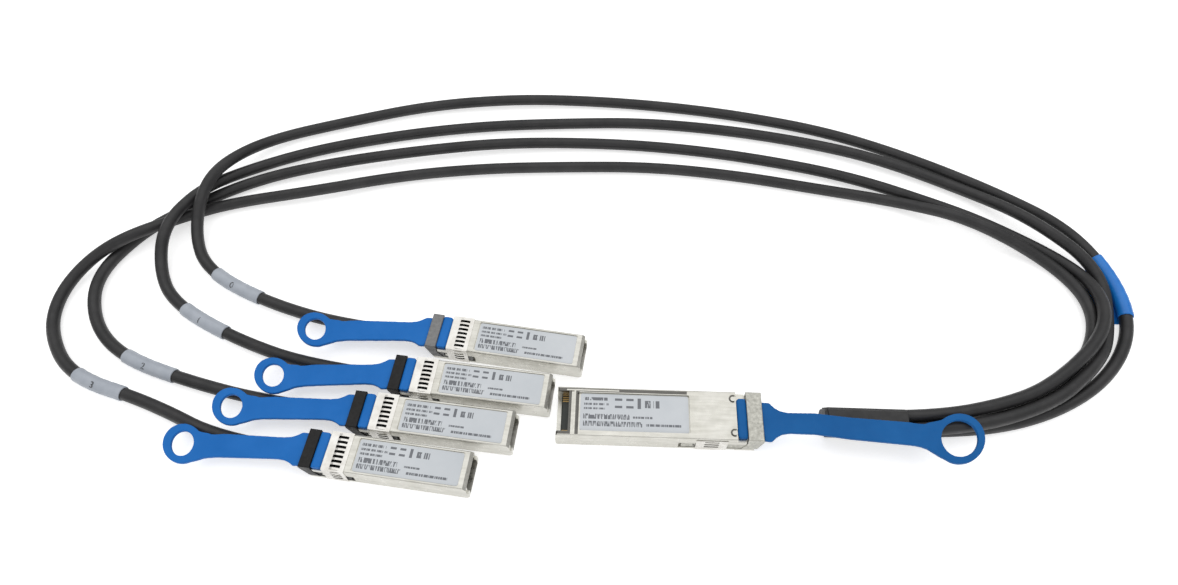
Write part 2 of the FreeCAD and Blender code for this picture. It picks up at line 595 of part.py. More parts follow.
def make_tab(name, p, line, dip):
    """Soft pull tab: a thick T on each side of the crossbar, neck, strap and finger ring.

    line gives the strap's middle as it wanders sideways, dip its underside along its length.
    """
    body = make_body(name)
    neck = p.leg_in - 0.3 if p is S else p.half - 3.2
    end = p.bar1 + 0.15
    front = p.ring_x - p.ring_a - p.flare

    def mid(x):
        for (x0, y0), (x1, y1) in zip(line[:-1], line[1:]):
            if x <= x1:
                return y0 + (y1 - y0) * (x - x0) / (x1 - x0)
        return line[-1][1]

    def half(x):
        share = (x - p.bend.value - 6) / (front.value - p.bend.value - 6)
        return (p.strap_w0 * (1 - share) + p.strap_w * share) / 2

    edge = []
    for step, share in ((0.0, 1.0), (1.6, 0.50), (3.4, 0.16), (6.0, 0.0)):
        x = p.bend.value + step
        edge.append((p.bend + step, half(p.bend.value + 6) * (1 - share) + p.t_back * share, mid(x)))
    for x, y in line[1:-1]:
        edge.append((size(x), half(x), y))
    rise = p.ring_b * 0.785 - p.strap_w / 2
    for step, share in ((0.0, 0.0), (0.45, 0.12), (0.8, 0.42)):
        x = front + p.flare * step
        edge.append((x, p.strap_w / 2 + rise * share, mid(x.value)))
    close = p.ring_x - p.ring_a * 0.62
    edge.append((close, p.ring_b * 0.785, mid(p.ring_x.value)))
    near_t, far_t = mid(p.bar0.value), mid(end.value)
    upper = [
        (p.head + 0.1, p.t_front + near_t), (p.bar0 - 0.15, p.t_front + near_t),
        (p.bar0 - 0.15, neck + near_t), (end, neck + near_t), (end, p.t_back + far_t),
    ] + [(x, h + y) for x, h, y in edge]
    lower = [(x, y - h) for x, h, y in edge[::-1]] + [
        (end, far_t - p.t_back), (end, near_t - neck), (p.bar0 - 0.15, near_t - neck),
        (p.bar0 - 0.15, near_t - p.t_front), (p.head + 0.1, near_t - p.t_front),
    ]
    plan = sketch(body, "XY_Plane", 0)
    outline(plan, upper + lower)
    pad(body, plan, 20)
    ring = sketch(body, "XY_Plane", 0)
    oval(ring, p.ring_x, line[-1][1], p.ring_a, p.ring_b)
    pad(body, ring, 20)
    hole = sketch(body, "XY_Plane", -1)
    oval(hole, p.ring_x, line[-1][1], p.hole_a, p.hole_b)
    pocket(body, hole, 30, back=True)
    fat = p.neck_low + neck_t + 0.75
    drop = p.neck_low - dip[0][1]
    tail = p.ring_x + p.ring_a + 2
    under = sketch(body, "XZ_Plane", 0)
    low = [(p.head - 2, p.neck_low), (end, p.neck_low), (end, p.neck_low - drop)]
    low += [(p.bend + a, size(b)) for a, b in dip]
    outline(under, low + [(tail, low[-1][1]), (tail, -2), (p.head - 2, -2)])
    pocket(body, under, 60, both=True)
    over = sketch(body, "XZ_Plane", 0)
    high = [
        (p.head - 2, fat - 0.5), (p.head + 0.1, fat - 0.5), (p.head + 0.9, fat),
        (p.bar0 - 0.9, fat), (p.bar0 - 0.15, fat - 0.3), (p.bar0 - 0.15, p.neck_low + neck_t),
        (end, p.neck_low + neck_t),
    ]
    high += [(p.bend + a + 0.1, b + p.strap_t) for a, b in dip]
    outline(over, high + [(tail, high[-1][1]), (tail, 25), (p.head - 2, 25)])
    pocket(body, over, 60, both=True)
    round_edges(body, 1.2, lambda c, d, n: abs(d.z) > 0.99 and near(c.x, p.head + 0.1))
    return body


def make_lever(name):
    """Latch lever: an eye on the pin, a plate in the floor slot and the wedge-shaped boss."""
    body = make_body(name)
    side = sketch(body, "XZ_Plane", 0)
    outline(side, [
        (lever_pin_x, lever_low), (latch_x - 1.6, lever_low), (latch_x, latch_low),
        (latch_x + 0.5, latch_low), (latch_x + 0.5, lever_low), (lever_end, lever_low),
        (lever_end, lever_low + lever_t), (lever_pin_x, lever_low + lever_t),
    ])
    pad(body, side, lever_w, both=True)
    eye = sketch(body, "XZ_Plane", 0)
    circle(eye, lever_pin_x, lever_pin_z, eye_r)
    pad(body, eye, lever_w, both=True)
    slim = sketch(body, "XY_Plane", lever_low)
    for sign in (-1, 1):
        outline(slim, box_points(latch_x - 2, 1.3 * sign, latch_x + 1, (lever_w + 1) * sign))
    pocket(body, slim, lever_low)
    bore = sketch(body, "XZ_Plane", 0)
    circle(bore, lever_pin_x, lever_pin_z, pin_r + pin_gap)
    pocket(body, bore, lever_w + 2, both=True)
    return body


def make_spring(name, p, sign):
    """Return spring: a zigzag strip in the slider's window, pushing on the base's post."""
    body = make_body(name)
    z = (arm_low + p.arm_top) / 2
    x0 = p.arm0 + window0 + 0.05
    x1 = p.arm0 + window0 + window_l - post_l - 0.55
    folds = 5
    step = (x1 - x0) / folds
    low = z - window_h / 2 + gap
    tall = window_h - gap * 2 - spring_t * 2.5
    front = []
    back = []
    for i in range(folds + 1):
        level = low + tall if i % 2 else low
        front.append((x0 + step * i, level))
        back.append((x0 + step * i, level + spring_t * 2.5))
    s = sketch(body, "XZ_Plane", (p.arm_out - spring_w) * -1 if sign > 0 else p.arm_out - spring_w)
    outline(s, front + back[::-1])
    pad(body, s, spring_w, back=sign > 0)
    return body


def make_label(name, p):
    """Printed label, face to face with the floor of its recess."""
    body = make_body(name)
    s = sketch(body, "XY_Plane", p.recess)
    outline(s, box_points(
        p.label0 + p.lead, -p.half + p.rim + 0.2, p.label1 - 0.3, p.half - p.rim - 0.2))
    pad(body, s, label_t)
    round_edges(body, 0.8, lambda c, d, n: abs(d.z) > 0.99)
    return body


body_sizes(S)
body_sizes(Q)

# Where each plug's nose lies on the table, its turn, its ring's sideways set, in mm and degrees.
SFP_PLACES = [
    (-1.7, -31.0, 170.9, 5.5),
    (-13.2, -46.9, 172.4, 6.2),
    (-25.8, -61.3, 172.3, 4.1),
    (-39.5, -76.4, 171.7, 4.0),
]
QSFP_PLACE = (-11.5, -54.3, -1.95)

for number, (x, y, turn, sideways) in enumerate(SFP_PLACES):
    tag = "sfp%d_" % number
    line = [(S.bar0.value, 0.0), (S.ring_x.value, sideways)]
    dip = [(-1.0, 6.8), (14.0, 6.3), (31.0, S.drop)]
    pieces = [
        make_base(tag + "base_shell", S, True, True),
        make_cover(tag + "top_cover", S, True),
        make_collar(tag + "emi_spring_collar", S),
        make_card(tag + "paddle_card", S),
        make_slider(tag + "latch_slider", S),
        make_tab(tag + "pull_tab", S, line, dip),
        make_lever(tag + "latch_lever"),
        make_spring(tag + "return_spring", S, 1),
        make_label(tag + "label", S),
    ]
    for piece in pieces:
        place(piece, x, y, turn)

line = [
    (Q.bar0.value, -0.7), (Q.bend.value + 11, -3.0), (Q.bend.value + 26, -4.6), (Q.ring_x.value, -6.9),
]
dip = [(-1.0, 6.9), (2.0, 7.4), (14.0, 10.8), (50.0, 10.8), (56.0, Q.drop)]
qsfp = [
    make_base("qsfp_base_shell", Q, False, False),
    make_cover("qsfp_top_cover", Q, False),
    make_band("qsfp_contact_band", Q),
    make_card("qsfp_paddle_card", Q),
    make_slider("qsfp_latch_slider", Q),
    make_tab("qsfp_pull_tab", Q, line, dip),
    make_spring("qsfp_return_spring_left", Q, 1),
    make_spring("qsfp_return_spring_right", Q, -1),
    make_label("qsfp_label", Q),
]

# ---------------------------------------------------------------- boot and sleeve of the bundle
# The four cables stand in two leaning pairs: lower near, upper near, upper far, lower far.
lean = cord_pitch * -0.38
rise = cord_pitch * 0.925
near_y = bundle_y - cord_pitch / 2
far_y = bundle_y + cord_pitch / 2
BOOT_SPOTS = [
    (near_y, bundle_z), (near_y + lean, bundle_z + rise),
    (far_y + lean, bundle_z + rise), (far_y, bundle_z),
]


def round_bundle(s, r):
    """The outline of a sleeve drawn tight round the four cables."""
    corners = ((0, 202.3, 67.7, 2), (3, 270.0, 112.3, 3), (2, 22.3, 67.7, 2), (1, 90.0, 112.3, 3))
    points = []
    for spot, start, span, count in corners:
        step = math.radians(span / count)
        for k in range(count):
            angle = math.radians(start) + step * (k + 0.5)
            reach = 1 / math.cos(step / 2)
            points.append((
                BOOT_SPOTS[spot][0] + r * (math.cos(angle) * reach),
                BOOT_SPOTS[spot][1] + r * (math.sin(angle) * reach)))
    outline(s, points)
    return s


def round_root(s, half_y, half_z, mid_z, r):
    """A box with cut corners, with as many sides as the outline of the sleeve."""
    low, high = mid_z - half_z, mid_z + half_z
    outline(s, [
        (-half_y, low + r), (-half_y + r, low),
        (half_y - r, low), (half_y - r * 0.3, low + r * 0.3), (half_y, low + r),
        (half_y, high - r), (half_y - r, high),
        (-half_y + r, high), (-half_y + r * 0.3, high - r * 0.3), (-half_y, high - r),
    ])
    return s


boot = make_body("bundle_boot")
boot_half_y = size(5.2)
boot_half_z = size(2.9)
boot_mid = size(3.7)
boot_r = size(1.3)
root = sketch(boot, "YZ_Plane", Q.length)
pad(boot, round_root(root, boot_half_y, boot_half_z, boot_mid, boot_r), boot_root)
boot_front = round_root(
    sketch(boot, "YZ_Plane", Q.length + boot_root - 0.1), boot_half_y, boot_half_z, boot_mid, boot_r)
taper_end = Q.length + boot_root + boot_taper
boot_back = round_bundle(sketch(boot, "YZ_Plane", taper_end), sleeve_in - seat)
loft = boot.newObject("PartDesign::AdditiveLoft", "Loft")
loft.Profile = boot_front
loft.Sections = [boot_back]
loft.Ruled = True
doc.recompute()
boot_tail = round_bundle(sketch(boot, "YZ_Plane", taper_end - 0.1), sleeve_in - seat)
pad(boot, boot_tail, boot_end - taper_end + 0.1)
qsfp.append(boot)

sleeve = make_body("bundle_sleeve")
tube_outline = sketch(sleeve, "YZ_Plane", sleeve0)
round_bundle(tube_outline, sleeve_in + sleeve_t)
round_bundle(tube_outline, sleeve_in)
pad(sleeve, tube_outline, sleeve1 - sleeve0)
qsfp.append(sleeve)
for piece in qsfp:
    place(piece, *QSFP_PLACE)
flag = make_body("flag_label_flag")
film = sketch(flag, "XY_Plane", seat)
outline(film, [
    (flag_w * -0.93, flag_l * -0.5), (-2.6, -13.5), (-1.1, -8.3), (-0.25, -3.4), (0.1, 1.7),
    (-0.1, 6.6), (-0.95, flag_l / 2), (flag_w * -0.65, flag_l / 2),
])
pad(flag, film, flag_t)
place(flag, 206.3, -1.0, 6.5)
doc.recompute()


# ---------------------------------------------------------------- the four cables
def on_table(place_of, x, y, z):
    """A point in plug coordinates, as it lies on the table."""
    turn = math.radians(place_of[2])
    return (
        place_of[0] + x * math.cos(turn) - y * math.sin(turn),
        place_of[1] + x * math.sin(turn) + y * math.cos(turn),
        z,
    )


plug_end = S.length.value - S.rear.value - 0.5
plug_z = S.exit.value
REST = 2.4  # a cable's middle when it lies on the table
MARKED = 2.9  # and where a marker sleeve lifts it

# Each route goes from the SFP+ plug to the boot. The end points follow the plugs.
ROUTES = [
    [
        (-89.3, -17.7, 2.9), (-124.0, -7.2, 3.0), (-152.5, 8.4, 3.1), (-161.1, 25.8, 4.5),
        (-159.0, 43.2, 12.7), (-155.1, 60.5, 9.3), (-140.8, 79.0, 3.0), (-107.6, 89.8, 2.8),
        (-72.9, 99.4, 2.9), (-35.0, 102.8, 3.6), (-0.1, 103.0, REST), (36.9, 99.1, REST),
        (70.9, 92.9, REST), (106.9, 82.4, 3.3), (140.0, 67.4, 3.2), (171.6, 48.6, 3.3),
        (197.9, 29.3, 2.9), (208.1, 3.2, 2.9), (206.2, -20.3, 3.0), (188.3, -41.9, 2.6),
        (157.4, -56.6, REST), (120.6, -60.5, 2.9),
    ],
    [
        (-100.4, -34.8, 2.9), (-133.7, -22.8, 2.9), (-161.6, -6.8, 2.9), (-171.5, 8.9, 2.7),
        (-171.8, 25.9, 9.5), (-163.2, 43.7, 9.0), (-153.0, 59.0, REST), (-121.7, 72.4, 2.6),
        (-83.1, 81.9, REST), (-46.6, 87.0, 2.6), (-10.0, 88.8, REST), (24.0, 89.0, 2.6),
        (61.0, 84.8, REST), (96.1, 76.9, 2.8), (125.8, 64.8, 4.2), (163.1, 49.1, 2.5),
        (179.9, 29.3, 2.7), (200.4, 7.0, 2.7), (198.1, -21.0, 4.5), (185.5, -36.2, 6.4),
        (162.4, -53.0, 7.8), (123.5, -62.3, 7.5),
    ],
    [
        (-113.6, -49.1, 2.9), (-148.3, -39.9, 2.9), (-175.2, -29.7, 3.1), (-190.2, -14.9, 2.6),
        (-195.6, 5.2, 3.4), (-185.4, 26.1, REST), (-171.0, 38.8, REST), (-143.2, 56.0, REST),
        (-108.9, 64.0, 4.5), (-71.7, 71.3, 4.1), (-37.0, 75.8, 3.8), (1.0, 77.0, REST),
        (36.1, 74.0, 2.6), (72.7, 67.9, REST), (112.2, 57.0, 4.8), (146.9, 42.0, REST),
        (166.5, 35.3, 5.6), (191.7, 13.0, 6.9), (198.2, -5.1, 8.0), (192.2, -23.3, 8.6),
        (171.9, -40.5, 7.6), (152.7, -50.4, 7.6), (117.9, -57.1, 7.5),
    ],
    [
        (-126.7, -64.2, 2.9), (-158.9, -48.4, 2.9), (-190.2, -38.8, 3.7), (-205.2, -19.9, REST),
        (-207.5, -3.1, 2.8), (-200.2, 11.8, 4.9), (-185.9, 20.0, 9.7), (-170.5, 33.7, 4.0),
        (-151.7, 42.9, REST), (-116.8, 47.7, 4.7), (-81.2, 57.8, 2.6), (-45.9, 61.6, 3.0),
        (-11.0, 62.8, 2.7), (27.0, 63.0, REST), (63.8, 58.0, REST), (95.8, 52.0, REST),
        (132.1, 43.1, 2.6), (159.9, 31.3, 5.6), (186.9, 12.7, REST), (195.6, -8.4, 3.5),
        (188.5, -28.5, REST), (166.1, -47.5, 2.6), (140.0, -51.9, REST), (111.9, -55.0, 3.0),
    ],
]


def route_points(number):
    spot = BOOT_SPOTS[number]
    first = on_table(SFP_PLACES[number], plug_end, 0, plug_z)
    last = on_table(QSFP_PLACE, boot_end.value, spot[0].value, spot[1].value)
    shift = V(shift_x.value, shift_y.value, 0)
    return [V(*q) + shift for q in [first] + ROUTES[number] + [last]]


def path_edges(points, name):
    """Straight runs joined by tangent arcs, each as large as its two runs allow."""
    runs = [b - a for a, b in zip(points[:-1], points[1:])]
    edges = []
    radii = []
    start = points[0]
    for i in range(1, len(points) - 1):
        before, after = runs[i - 1], runs[i]
        cut = 0.45 * min(before.Length, after.Length)
        d0 = V(before).normalize()
        d1 = V(after).normalize()
        turn = d0.getAngle(d1)
        radius = cut / math.tan(turn / 2)
        radii.append(radius)
        enter = points[i] - d0 * cut
        leave = points[i] + d1 * cut
        inward = (d1 - d0).normalize()
        middle = points[i] + inward * (radius / math.cos(turn / 2) - radius)
        edges.append(Part.LineSegment(start, enter).toShape())
        edges.append(Part.Arc(enter, middle, leave).toShape())
        start = leave
    edges.append(Part.LineSegment(start, points[-1]).toShape())
    print("%s: runs %s" % (name, [round(r.Length) for r in runs]))
    print("%s: arc radii %s" % (name, [round(r) for r in radii]))
    return edges


def tube(name, edges, radius, inside=None):
    """A round tube swept along the edges, solid or hollow."""
    wire = Part.Wire(edges)
    start = edges[0].valueAt(edges[0].FirstParameter)
    along = edges[0].tangentAt(edges[0].FirstParameter)
    solids = []
    for r in [radius] + ([inside] if inside else []):
        ring = Part.Wire([Part.Circle(start, along, r).toShape()])
        solids.append(wire.makePipeShell([ring], True, False))
    shape = solids[0].cut(solids[1]) if inside else solids[0]
    area = math.pi * (radius ** 2 - (inside or 0) ** 2)
    print("%s: length %.1f mm, volume against section times length %.4f" % (
        name, wire.Length, shape.Volume / (area * wire.Length)))
    node = doc.addObject("Part::Feature", name)
    node.Label = name
    node.Shape = shape
    return node


def stretch(edges, begin, end):
    """The part of a path between two distances along it."""
    kept = []
    done = 0.0
    for edge in edges:
        low = max(begin - done, 0.0)
        high = min(end - done, edge.Length)
        if high - low > 0.01:
            first, last = edge.FirstParameter, edge.LastParameter
            span = (last - first) / edge.Length
            kept.append(edge.Curve.toShape(first + span * low, first + span * high))
        done += edge.Length
    return kept


MARKERS = [(76.0, 99.0), (74.8, 96.0), (75.4, 97.4), (80.5, 101.5)]
cords = []
for number in range(4):
    points = route_points(number)
    edges = path_edges(points, "cable_%d" % number)
    cords.append(tube("cable_%d" % number, edges, cable_r.value))
    begin, end = MARKERS[number]
    inner = cable_r.value + wrap_gap.value
    cords.append(tube(
        "cable_marker_%d" % number, stretch(edges, begin, end), inner + wrap_t.value, inner))
    if number == 0:
        flag_path = stretch(edges, 556.0, 584.0)
        cords.append(tube("flag_label_wrap", flag_path, inner + wrap_t.value, inner))

# ---------------------------------------------------------------- check, then write
doc.recompute()
nodes = [o for o in doc.Objects if o.TypeId == "PartDesign::Body"] + cords
problems = []
for o in doc.Objects:
    if "Invalid" in o.State or "Error" in o.State:
        problems.append("%s is %s" % (o.Label, o.State))
for o in nodes:
    if o.Shape.isNull() or not o.Shape.isValid() or len(o.Shape.Solids) != 1:
        problems.append("%s has a bad shape (%d solids)" % (o.Label, len(o.Shape.Solids)))
if len({o.Label for o in nodes}) != len(nodes):
    problems.append("two sub-parts share a name")
if problems:
    raise RuntimeError("; ".join(problems))
os.makedirs("parts", exist_ok=True)
for o in nodes:
    shape = o.Shape.copy()
    shape.exportStep(os.path.join("parts", o.Label + ".step"))
print("%d sub-parts written" % len(nodes))
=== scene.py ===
import bpy
import bmesh
import json
import math
from mathutils import Vector, Matrix


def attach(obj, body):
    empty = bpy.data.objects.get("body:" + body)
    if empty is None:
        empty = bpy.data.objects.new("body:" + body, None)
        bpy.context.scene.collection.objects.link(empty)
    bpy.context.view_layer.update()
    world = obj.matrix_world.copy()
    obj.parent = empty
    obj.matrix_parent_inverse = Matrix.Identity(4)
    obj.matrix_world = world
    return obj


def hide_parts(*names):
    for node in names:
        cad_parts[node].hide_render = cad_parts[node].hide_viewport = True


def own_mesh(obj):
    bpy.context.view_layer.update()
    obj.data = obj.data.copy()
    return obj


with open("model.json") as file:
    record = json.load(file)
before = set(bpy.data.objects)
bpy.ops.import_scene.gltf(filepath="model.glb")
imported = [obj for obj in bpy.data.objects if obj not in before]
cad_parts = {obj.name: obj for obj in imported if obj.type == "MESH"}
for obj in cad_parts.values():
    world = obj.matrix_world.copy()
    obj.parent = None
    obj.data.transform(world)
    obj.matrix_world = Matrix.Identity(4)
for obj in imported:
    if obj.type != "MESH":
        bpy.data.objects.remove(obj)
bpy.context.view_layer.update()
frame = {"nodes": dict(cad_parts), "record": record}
MM = 0.001

# ---------------------------------------------------------------- camera
# The camera looks down on the table from the near side.
SHIFT = Vector((6.36, 47.95, 0)) * MM
ELEVATION = math.radians(57.94)
DISTANCE = 0.3172
camera_data = bpy.data.cameras.new("camera")
camera_data.sensor_width = 36.0
camera_data.lens = 24.45
camera_data.clip_start = 0.01
camera = bpy.data.objects.new("camera", camera_data)
bpy.context.scene.collection.objects.link(camera)
camera.location = SHIFT + DISTANCE * Vector((0, -math.cos(ELEVATION), math.sin(ELEVATION)))
camera.rotation_euler = (math.pi / 2 - ELEVATION, 0, 0)
bpy.context.scene.camera = camera

# ---------------------------------------------------------------- where the plugs lie
# Nose on the table in mm, and the turn of the plug's long axis in degrees.
PLUGS = {
    "sfp0": (-1.7, -31.0, 170.9),
    "sfp1": (-13.2, -46.9, 172.4),
    "sfp2": (-25.8, -61.3, 172.3),
    "sfp3": (-39.5, -76.4, 171.7),
    "qsfp": (-11.5, -54.3, -1.95),
}


def on_table(plug, x, y, z):
    """A point given in plug coordinates (mm back from the nose, across, up), in the row frame."""
    nose_x, nose_y, turn = PLUGS[plug]
    turned = Matrix.Rotation(math.radians(turn), 3, "Z") @ Vector((x, y, z))
    return (turned + Vector((nose_x, nose_y, 0))) * MM + SHIFT


# ---------------------------------------------------------------- the four cables
CABLE = 4.7 * MM
REST = 2.4  # a cable's middle when it lies on the table

# Control points from each SFP+ plug to the boot, in mm. The end points follow the plugs. They came
# out of fitting scripts and were rounded to 0.1 mm; they were not chosen by hand.
ROUTES = [
    [
        (-89.3, -17.7, 2.9), (-124.0, -7.2, 3.0), (-152.5, 8.4, 3.1), (-161.1, 25.8, 4.5),
        (-159.0, 43.2, 12.7), (-155.1, 60.5, 9.3), (-140.8, 79.0, 3.0), (-107.6, 89.8, 2.8),
        (-72.9, 99.4, 2.9), (-35.0, 102.8, 3.6), (-0.1, 103.0, REST), (36.9, 99.1, REST),
        (70.9, 92.9, REST), (106.9, 82.4, 3.3), (140.0, 67.4, 3.2), (171.6, 48.6, 3.3),
        (197.9, 29.3, 2.9), (208.1, 3.2, 2.9), (206.2, -20.3, 3.0), (188.3, -41.9, 2.6),
        (157.4, -56.6, REST), (120.6, -60.5, 2.9),
    ],
    [
        (-100.4, -34.8, 2.9), (-133.7, -22.8, 2.9), (-161.6, -6.8, 2.9), (-171.5, 8.9, 2.7),
        (-171.8, 25.9, 9.5), (-163.2, 43.7, 9.0), (-153.0, 59.0, REST), (-121.7, 72.4, 2.6),
        (-83.1, 81.9, REST), (-46.6, 87.0, 2.6), (-10.0, 88.8, REST), (24.0, 89.0, 2.6),
        (61.0, 84.8, REST), (96.1, 76.9, 2.8), (126.5, 65.9, 4.2), (162.7, 48.4, 2.5),
        (180.7, 29.9, 8.5), (203.4, 7.7, 4.8), (198.1, -21.0, 1.9), (185.5, -36.2, 6.4),
        (162.4, -53.0, 7.8), (123.5, -62.3, 7.5),
    ],
    [
        (-113.6, -49.1, 2.9), (-148.3, -39.9, 2.9), (-175.2, -29.7, 3.1), (-190.2, -14.9, 2.6),
        (-195.6, 5.2, 3.4), (-185.4, 26.1, REST), (-171.0, 38.8, REST), (-143.2, 56.0, REST),
        (-108.9, 64.0, 4.5), (-71.7, 71.3, 4.1), (-37.0, 75.8, 3.8), (1.0, 77.0, REST),
        (36.1, 74.0, 2.6), (72.7, 67.9, REST), (112.0, 56.8, 3.3), (146.4, 41.6, 2.9),
        (164.5, 31.0, 3.7), (192.8, 13.0, 1.6), (198.4, -5.4, 6.8), (192.2, -23.3, 8.6),
        (171.9, -40.5, 7.6), (152.7, -50.4, 7.6), (117.9, -57.1, 7.5),
    ],
    [
        (-126.7, -64.2, 2.9), (-158.9, -48.4, 2.9), (-190.2, -38.8, 3.7), (-205.2, -19.9, REST),
        (-207.5, -3.1, 2.8), (-200.2, 11.8, 4.9), (-185.9, 20.0, 9.7), (-170.5, 33.7, 4.0),
        (-151.7, 42.9, REST), (-116.8, 47.7, 4.7), (-81.2, 57.8, 2.6), (-45.9, 61.6, 3.0),
        (-11.0, 62.8, 2.7), (27.0, 63.0, REST), (63.8, 58.0, REST), (95.6, 51.1, REST),
        (132.3, 43.0, 2.7), (155.3, 28.4, 10.3), (186.9, 12.7, 1.5), (195.6, -8.4, 3.5),
        (188.5, -28.5, REST), (166.1, -47.5, 2.6), (140.0, -51.9, REST), (111.9, -55.0, 3.0),
    ],
]

# Where each cable enters the boot: across and up, in plug coordinates.
BOOT_SPOTS = [(-1.37, 3.0), (-3.27, 7.625), (1.73, 7.625), (3.63, 3.0)]
CABLE_START = 53.5  # back from the small plug's nose
BOOT_END = 96.5  # back from the large plug's nose
PLUG_EXIT = 4.1  # height of a cable's middle where it leaves the small plug


def make_cable(number):
    """One twinax cable as a smooth spline from its plug to the boot."""
    first = on_table("sfp%d" % number, CABLE_START, 0, PLUG_EXIT)
    last = on_table("qsfp", BOOT_END, *BOOT_SPOTS[number])
    points = [first] + [Vector(p) * MM + SHIFT for p in ROUTES[number]] + [last]
    curve = bpy.data.curves.new("cable_run_%d" % number, "CURVE")
    curve.dimensions = "3D"
    curve.resolution_u = 10
    curve.bevel_depth = 1.0  # times each point's radius
    curve.bevel_resolution = 6
    curve.use_fill_caps = True
    spline = curve.splines.new("NURBS")
    spline.points.add(len(points) - 1)
    for place, point in zip(spline.points, points):
        place.co = (*point, 1.0)
        place.radius = CABLE / 2
    spline.order_u = 3
    spline.use_endpoint_u = True
    cable = bpy.data.objects.new("cable_run_%d" % number, curve)
    bpy.context.scene.collection.objects.link(cable)
    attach(cable, "cable_set")
    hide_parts("cable_%d" % number)
    return cable, first


def path_of(cable):
    """The cable's own centreline, read from its spline: the points and the distances along it."""
    bevel = cable.data.bevel_depth
    cable.data.bevel_depth = 0
    bpy.context.view_layer.update()
    line = bpy.data.meshes.new_from_object(
        cable.evaluated_get(bpy.context.evaluated_depsgraph_get()))
    cable.data.bevel_depth = bevel
    points = [v.co.copy() for v in line.vertices]
    bpy.data.meshes.remove(line)
    along = [0.0]
    for a, b in zip(points[:-1], points[1:]):
        along.append(along[-1] + (b - a).length)
    return points, along


def at_distance(points, along, s):
    """Point and direction of the centreline at one distance."""
    for i in range(len(along) - 1):
        if along[i + 1] >= s:
            t = (s - along[i]) / (along[i + 1] - along[i])
            step = points[i + 1] - points[i]
            return points[i] + step * t, step.normalized()
    raise ValueError("past the end of the cable")


cables = []
paths = []
for number in range(4):
    cable, cable_exit = make_cable(number)
    cables.append((cable, cable_exit))
    paths.append(path_of(cable))

# ---------------------------------------------------------------- finishes


class Finish:
    """A node-based material: a principled shader plus whatever patterns drive it."""

    def __init__(self, name, color, roughness, metallic=0.0, **more):
        self.material = bpy.data.materials.new(name)
        self.material.use_nodes = True
        self.nodes = self.material.node_tree.nodes
        self.links = self.material.node_tree.links
        self.shader = self.nodes["Principled BSDF"]
        self.set("Base Color", (*color, 1))
        self.set("Roughness", roughness)
        self.set("Metallic", metallic)
        for socket, value in more.items():
            self.set(socket.replace("_", " "), value)
        self.place = self.add("TexCoord").outputs["Object"]

    def add(self, kind, **settings):
        prefix = "ShaderNodeTex" if kind in ("Noise", "Voronoi", "Wave", "Coord") else "ShaderNode"
        made = self.nodes.new("ShaderNodeTexCoord" if kind == "TexCoord" else prefix + kind)
        for key, value in settings.items():
            setattr(made, key, value)
        return made

    def set(self, socket, value):
        self.shader.inputs[socket].default_value = value

    def join(self, source, target):
        self.links.new(source, target)

    def math(self, operation, a, b=None, c=None):
        made = self.add("Math", operation=operation)
        for slot_number, value in enumerate((a, b, c)):
            if value is None:
                continue
            if isinstance(value, (int, float)):
                made.inputs[slot_number].default_value = value
            else:
                self.join(value, made.inputs[slot_number])
        return made.outputs[0]

    def stretched(self, x, y, z, turn):
        """Object coordinates turned by some degrees, then stretched along the axes."""
        turned = self.add("Mapping")
        turned.inputs["Rotation"].default_value = (0, 0, math.radians(turn))
        self.join(self.place, turned.inputs["Vector"])
        made = self.add("Mapping")
        made.inputs["Scale"].default_value = (x, y, z)
        self.join(turned.outputs[0], made.inputs["Vector"])
        return made.outputs[0]

    def bars(self, u, v, across, down):
        """Coordinates for strokes: finely divided along a line, coarse across it."""
        made = self.add("CombineXYZ")
        self.join(self.math("MULTIPLY", u, across), made.inputs[0])
        self.join(self.math("MULTIPLY", v, down), made.inputs[1])
        return made.outputs[0]

    def noise(self, scale, detail=4.0, rough=0.55, place=None):
        made = self.add("Noise")
        made.inputs["Scale"].default_value = scale
        made.inputs["Detail"].default_value = detail
        made.inputs["Roughness"].default_value = rough
        self.join(place or self.place, made.inputs["Vector"])
        return made.outputs["Fac"]

    def ranged(self, value, low, high, to_low, to_high):
        made = self.add("MapRange")
        for socket, number in zip(made.inputs[1:5], (low, high, to_low, to_high)):
            socket.default_value = number
        self.join(value, made.inputs[0])
        return made.outputs[0]

    def ramp(self, value, *stops):
        made = self.add("ValToRGB")
        bar = made.color_ramp.elements
        while len(bar) < len(stops):
            bar.new(0.5)
        for element, (place, color) in zip(bar, stops):
            element.position = place
            element.color = (*color, 1)
        self.join(value, made.inputs[0])
        return made.outputs[0]

    def mixed(self, amount, a, b):
        made = self.add("Mix", data_type="RGBA")
        for socket, value in ((0, amount), (6, a), (7, b)):
            if isinstance(value, tuple):
                made.inputs[socket].default_value = (*value, 1)
            elif isinstance(value, (int, float)):
                made.inputs[socket].default_value = value
            else:
                self.join(value, made.inputs[socket])
        return made.outputs[2]

    def color(self, source):
        self.join(source, self.shader.inputs["Base Color"])

    def rough(self, source):
        self.join(source, self.shader.inputs["Roughness"])

    def bump(self, *layers):
        """Each layer is a height socket and its depth in metres."""
        below = None
        for height, depth in layers:
            made = self.add("Bump")
            made.inputs["Distance"].default_value = depth
            made.inputs["Strength"].default_value = 1.0
            self.join(height, made.inputs["Height"])
            if below:
                self.join(below, made.inputs["Normal"])
            below = made.outputs[0]
        self.join(below, self.shader.inputs["Normal"])


